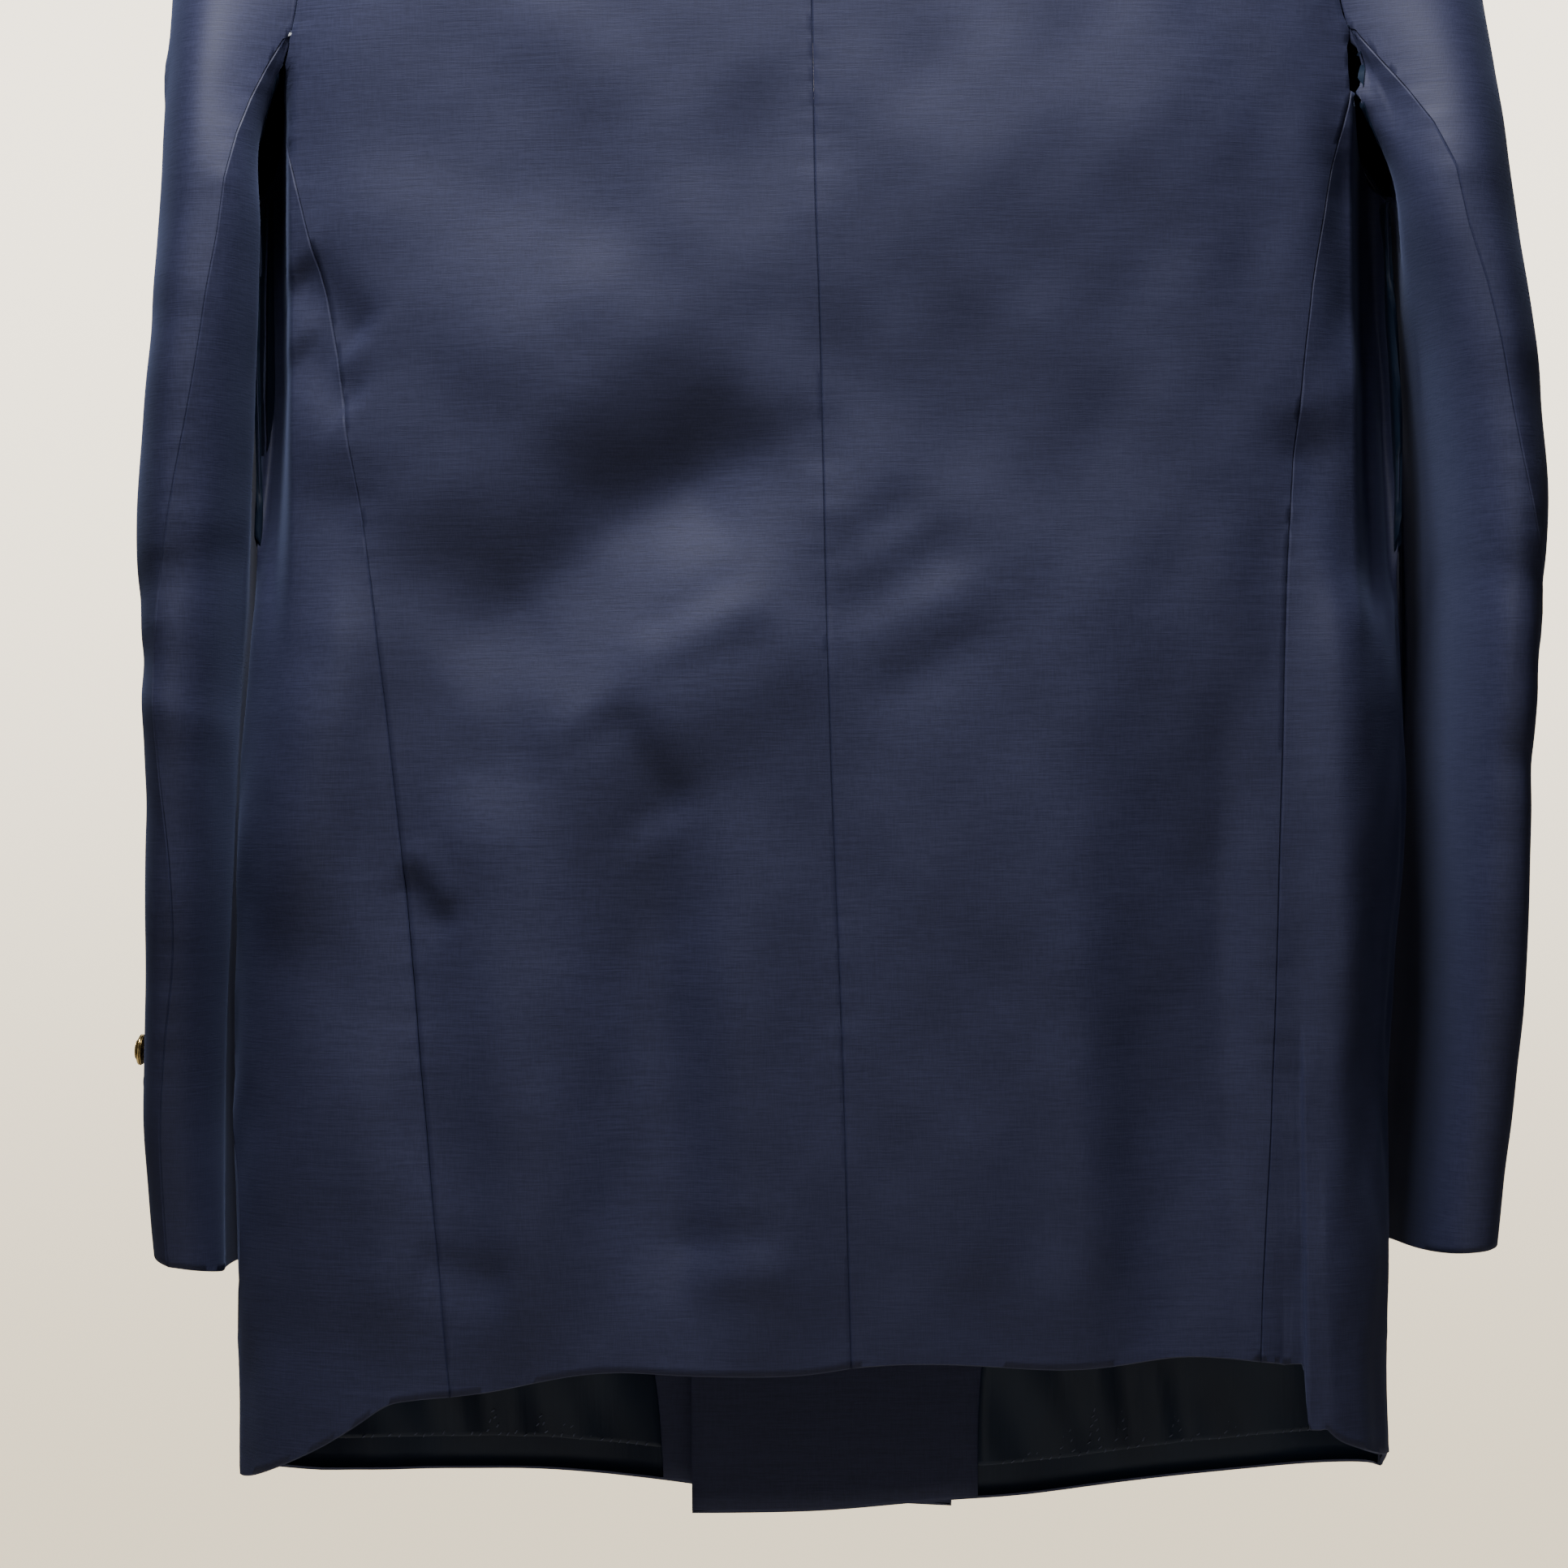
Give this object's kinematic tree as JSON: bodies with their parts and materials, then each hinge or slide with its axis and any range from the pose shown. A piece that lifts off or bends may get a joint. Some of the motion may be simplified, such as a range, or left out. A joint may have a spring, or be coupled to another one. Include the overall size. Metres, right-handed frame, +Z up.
{
  "type": "blazer on a hanger",
  "caption": "Double-breasted blazer with peak lapels, flap pockets and domed metal buttons, hung on a plain bar hanger with a wire hook.",
  "frame": {"origin": "where the hanger's hook bears on its rail, on the blazer's middle plane", "axes": "+Z up, -Y out of the blazer's front, +X to the wearer's left"},
  "size_m": [0.5987, 0.1643, 0.9387],
  "materials": {
    "wool": "fine dark navy wool with a slight sheen",
    "satin": "dark satin lining",
    "gold": "polished gilt metal",
    "wood": "varnished wood",
    "steel": "bright wire"
  },
  "bodies": {
    "root": {"back_left": "wool", "back_right": "wool", "side_left": "wool", "side_right": "wool", "front_left": "wool", "front_right": "wool", "facing_left": "wool", "facing_right": "wool", "lapel_left": "wool", "lapel_right": "wool", "collar": "wool", "top_sleeve_left": "wool", "top_sleeve_right": "wool", "under_sleeve_left": "wool", "under_sleeve_right": "wool", "flap_left": "wool", "flap_right": "wool", "chest_welt": "wool", "lining_left": "satin", "lining_right": "satin", "cuff_button_left_1": "gold", "cuff_button_left_2": "gold", "cuff_button_left_3": "gold", "cuff_button_left_4": "gold", "cuff_button_right_1": "gold", "cuff_button_right_2": "gold", "cuff_button_right_3": "gold", "cuff_button_right_4": "gold", "front_button_left_1": "gold", "front_button_left_2": "gold", "front_button_left_3": "gold", "front_button_right_1": "gold", "front_button_right_2": "gold", "front_button_right_3": "gold", "hanger": "wood", "hook": "steel"}
  },
  "joints": []
}
